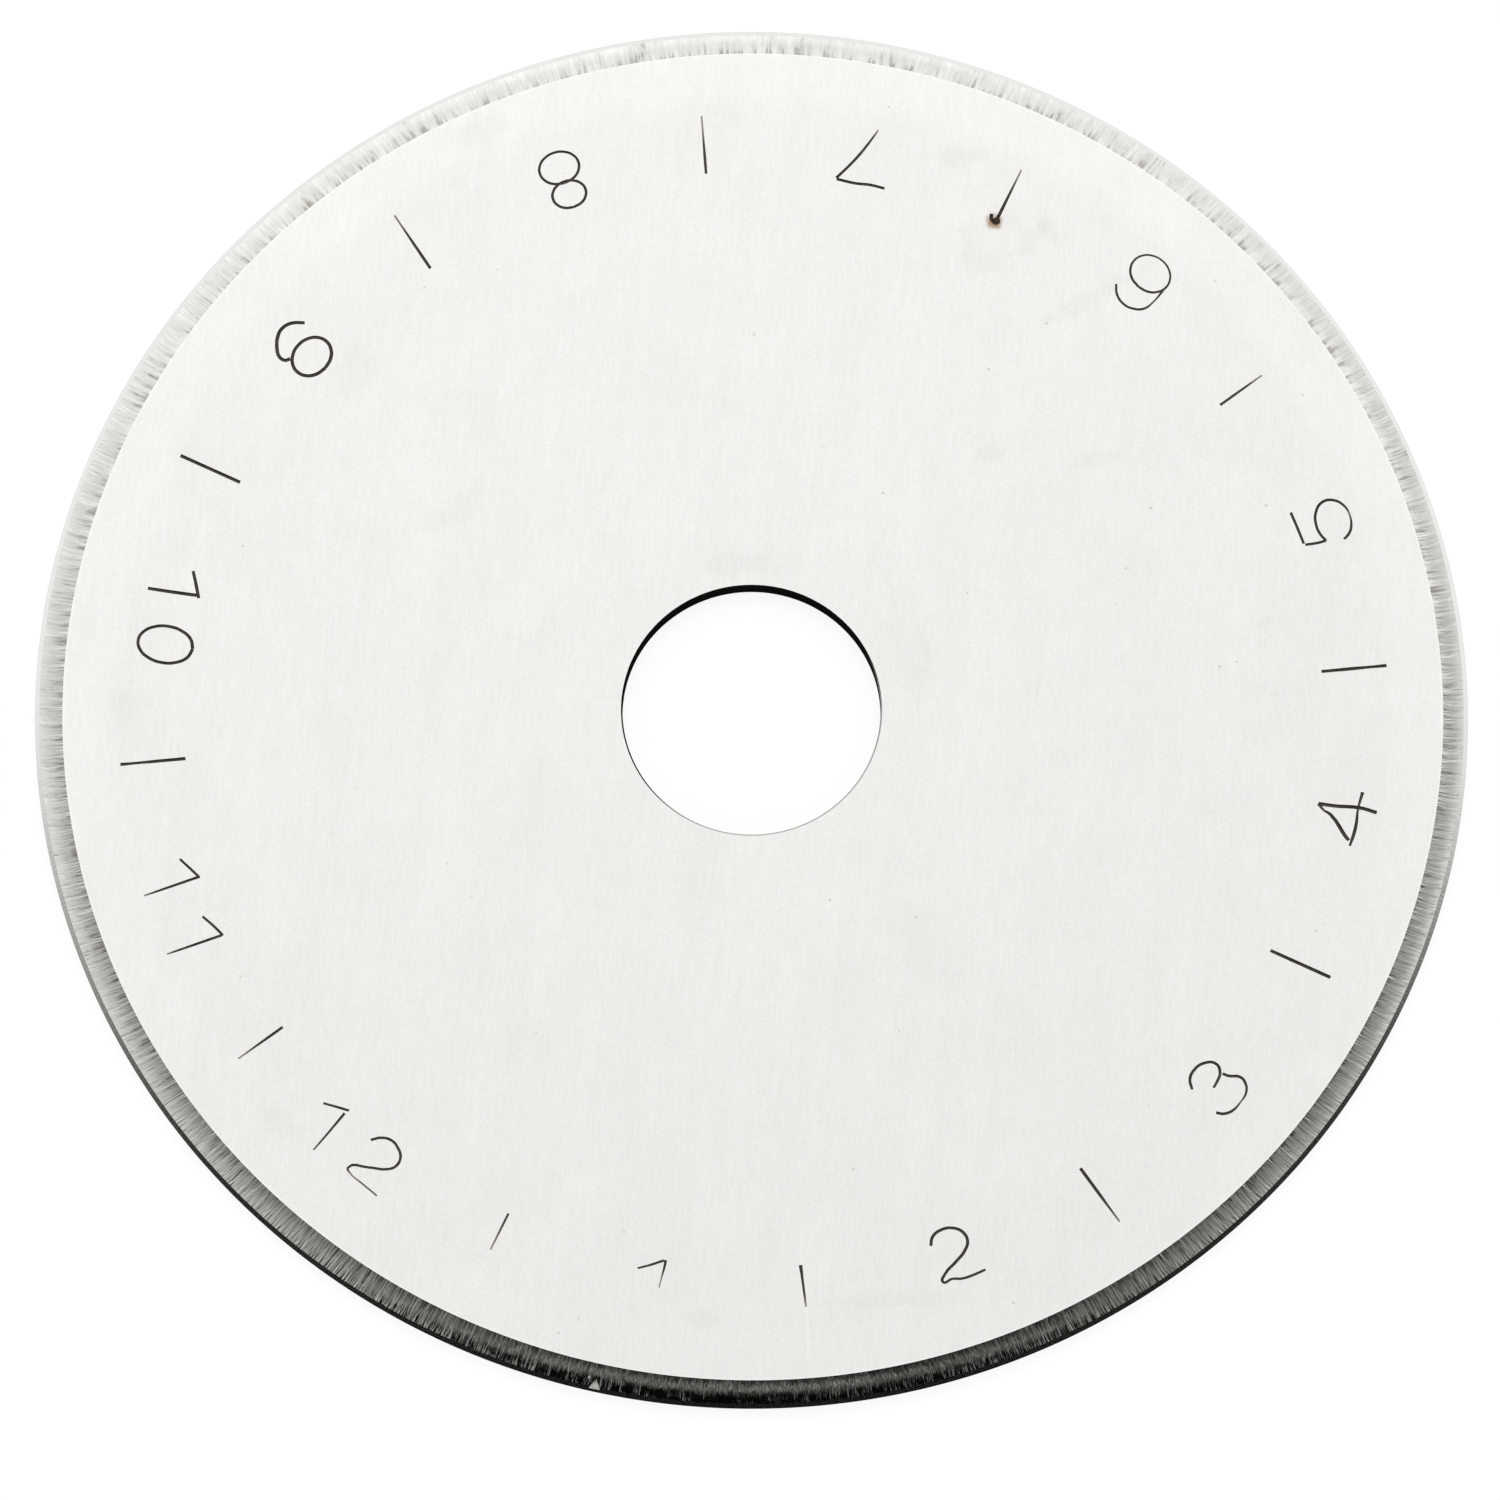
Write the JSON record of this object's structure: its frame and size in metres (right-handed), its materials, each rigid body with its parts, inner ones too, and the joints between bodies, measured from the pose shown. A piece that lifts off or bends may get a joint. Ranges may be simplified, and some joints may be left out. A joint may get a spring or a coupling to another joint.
{
  "type": "rotary cutter blade",
  "caption": "Round flat steel cutting disc with a plain central bore and an edge bevelled from both faces; scribed numbers run round its upper face.",
  "frame": {"origin": "centre of the bore on the lower face, which the blade rests on", "axes": "+Z along the bore, out of the upper face that carries the scribed numbers; +X to the right and +Y away from the viewer in the picture"},
  "size_m": [0.045, 0.045, 0.0007],
  "materials": {
    "blade_steel": "fine ground satin faces with straight grinding lines, coarser radial grinding lines on the bevels"
  },
  "bodies": {
    "root": {"blade": "blade_steel"}
  },
  "joints": []
}
